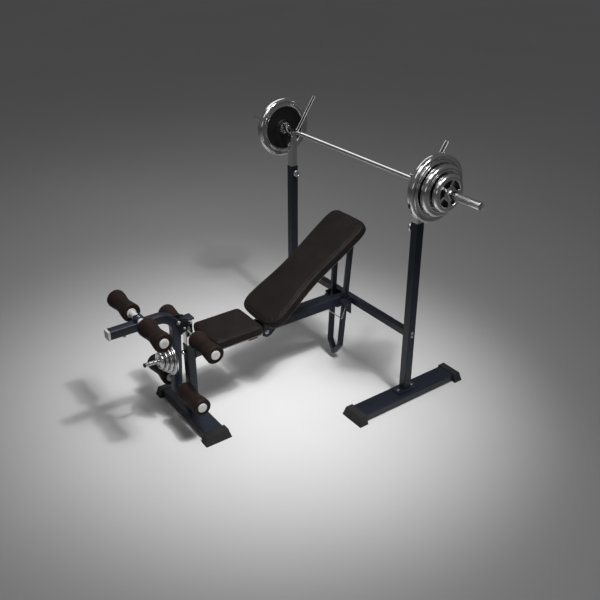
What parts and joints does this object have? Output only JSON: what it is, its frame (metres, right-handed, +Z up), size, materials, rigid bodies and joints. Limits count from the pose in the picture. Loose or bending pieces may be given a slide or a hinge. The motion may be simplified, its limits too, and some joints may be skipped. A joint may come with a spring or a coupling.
{
  "type": "adjustable weight bench with rack, leg developer and barbell",
  "caption": "Weight bench with a padded seat, reclining backrest, height-adjustable barbell rack, loaded barbell and a leg developer with foam rollers and a weight peg.",
  "frame": {"origin": "on the floor, under the middle of the whole bench's bounding box", "axes": "+Z up; the barbell lies along X; the bench runs along Y with the rack at +Y and the leg developer at -Y; left is -X"},
  "size_m": [1.954, 1.938, 1.5155],
  "materials": {
    "navy": "semi-gloss dark navy powder coat",
    "chrome": "bright chrome plate with faint machining marks",
    "zinc": "zinc-plated bolts and axles",
    "black_steel": "satin black brackets",
    "rubber": "matt black moulded end caps",
    "foam": "skinned dark brown foam with a soft sheen",
    "vinyl": "dark brown grained vinyl upholstery",
    "board": "light grey backing board edge"
  },
  "bodies": {
    "frame": {"upright_left": "navy", "upright_right": "navy", "rear_foot_left": "navy", "rear_foot_right": "navy", "rear_foot_cap_back_left": "rubber", "rear_foot_cap_back_right": "rubber", "rear_foot_cap_front_left": "rubber", "rear_foot_cap_front_right": "rubber", "crossbeam": "navy", "main_beam": "navy", "front_post": "navy", "front_foot": "navy", "front_foot_cap_left": "rubber", "front_foot_cap_right": "rubber", "seat_pad": "vinyl", "seat_board": "board", "seat_bracket": "black_steel", "hinge_bolt": "zinc"},
    "left_knob": {"pull_knob_left": "chrome"},
    "right_knob": {"pull_knob_right": "chrome"},
    "front_knob": {"front_clamp_knob": "chrome"},
    "left_rack": {"rack_post_left": "chrome", "cradle_left": "chrome"},
    "right_rack": {"rack_post_right": "chrome", "cradle_right": "chrome"},
    "barbell": {"bar": "chrome"},
    "left_sleeve": {"sleeve_left": "chrome"},
    "right_sleeve": {"sleeve_right": "chrome"},
    "left_plates": {"plate_large_left": "chrome", "plate_medium_left": "chrome", "plate_small_left": "chrome"},
    "right_plates": {"plate_large_right": "chrome", "plate_medium_right": "chrome", "plate_small_right": "chrome"},
    "backrest": {"backrest_pad": "vinyl", "backrest_board": "board", "backrest_frame": "navy", "support_pin": "zinc"},
    "support": {"support_legs": "navy"},
    "clip": {"lock_clip": "chrome"},
    "leg_post": {"front_inner_post": "chrome", "post_head": "navy", "developer_bracket": "black_steel", "developer_bolt": "zinc", "knee_axle": "zinc"},
    "left_knee_foam": {"knee_roller_left": "foam"},
    "right_knee_foam": {"knee_roller_right": "foam"},
    "developer": {"developer_arm": "navy", "developer_end_cap": "rubber", "front_axle": "zinc", "lower_axle": "zinc", "weight_peg": "chrome"},
    "left_front_foam": {"front_roller_left": "foam"},
    "right_front_foam": {"front_roller_right": "foam"},
    "left_lower_foam": {"lower_roller_left": "foam"},
    "right_lower_foam": {"lower_roller_right": "foam"},
    "peg_plates": {"peg_plate_1": "chrome", "peg_plate_2": "chrome", "peg_plate_3": "chrome", "peg_plate_4": "chrome"}
  },
  "joints": [
    {"name": "left_knob_pull", "type": "slide", "parent": "frame", "child": "left_knob", "axis": [1, 0, 0], "range_m": [0, 0.01], "stiffness_N_per_m": 400},
    {"name": "right_knob_pull", "type": "slide", "parent": "frame", "child": "right_knob", "axis": [-1, 0, 0], "range_m": [0, 0.01], "stiffness_N_per_m": 400},
    {"name": "front_knob_turn", "type": "hinge", "parent": "frame", "child": "front_knob", "pos_m": [0, -0.551, 0.43], "axis": [0, -1, 0], "continuous": true},
    {"name": "left_rack_height", "type": "slide", "parent": "frame", "child": "left_rack", "axis": [0, 0, 1], "range_m": [0, 0.15]},
    {"name": "right_rack_height", "type": "slide", "parent": "frame", "child": "right_rack", "axis": [0, 0, 1], "range_m": [0, 0.15]},
    {"name": "barbell_lift", "type": "slide", "parent": "left_rack", "child": "barbell", "axis": [0, 0, 1], "range_m": [0, 0.2]},
    {"name": "left_sleeve_spin", "type": "hinge", "parent": "barbell", "child": "left_sleeve", "pos_m": [-0.8, 0.576, 1.328], "axis": [1, 0, 0], "continuous": true},
    {"name": "left_plates_off", "type": "slide", "parent": "left_sleeve", "child": "left_plates", "axis": [-1, 0, 0], "range_m": [0, 0.33]},
    {"name": "right_sleeve_spin", "type": "hinge", "parent": "barbell", "child": "right_sleeve", "pos_m": [0.8, 0.576, 1.328], "axis": [1, 0, 0], "continuous": true},
    {"name": "right_plates_off", "type": "slide", "parent": "right_sleeve", "child": "right_plates", "axis": [1, 0, 0], "range_m": [0, 0.33]},
    {"name": "backrest_recline", "type": "hinge", "parent": "frame", "child": "backrest", "pos_m": [0, -0.043, 0.4], "axis": [1, 0, 0], "range_deg": [0, 11]},
    {"name": "support_swing", "type": "hinge", "parent": "backrest", "child": "support", "pos_m": [0, 0.545, 0.841], "axis": [1, 0, 0], "range_deg": [-1.43, 0]},
    {"name": "clip_swing", "type": "hinge", "parent": "frame", "child": "clip", "pos_m": [0, 0.518, 0.408], "axis": [-1, 0, 0], "range_deg": [0, 50]},
    {"name": "leg_post_height", "type": "slide", "parent": "frame", "child": "leg_post", "axis": [0, 0, 1], "range_m": [0, 0.1]},
    {"name": "developer_swing", "type": "hinge", "parent": "leg_post", "child": "developer", "pos_m": [0, -0.5825, 0.6376], "axis": [-1, 0, 0], "range_deg": [0, 90]},
    {"name": "left_knee_spin", "type": "hinge", "parent": "leg_post", "child": "left_knee_foam", "pos_m": [-0.17, -0.511, 0.538], "axis": [1, 0, 0], "continuous": true},
    {"name": "right_knee_spin", "type": "hinge", "parent": "leg_post", "child": "right_knee_foam", "pos_m": [0.17, -0.511, 0.538], "axis": [1, 0, 0], "continuous": true},
    {"name": "left_front_spin", "type": "hinge", "parent": "developer", "child": "left_front_foam", "pos_m": [-0.184, -0.79, 0.714], "axis": [1, 0, 0], "continuous": true},
    {"name": "right_front_spin", "type": "hinge", "parent": "developer", "child": "right_front_foam", "pos_m": [0.184, -0.79, 0.714], "axis": [1, 0, 0], "continuous": true},
    {"name": "left_lower_spin", "type": "hinge", "parent": "developer", "child": "left_lower_foam", "pos_m": [-0.172, -0.608, 0.246], "axis": [1, 0, 0], "continuous": true},
    {"name": "right_lower_spin", "type": "hinge", "parent": "developer", "child": "right_lower_foam", "pos_m": [0.172, -0.608, 0.246], "axis": [1, 0, 0], "continuous": true},
    {"name": "peg_plates_off", "type": "slide", "parent": "developer", "child": "peg_plates", "axis": [0, -0.9986, 0.0532], "range_m": [0, 0.17]}
  ],
  "couplings": [
    {"joint": "right_rack_height", "follows": "left_rack_height", "ratio": 1},
    {"joint": "support_swing", "follows": "backrest_recline", "ratio": -0.13}
  ]
}
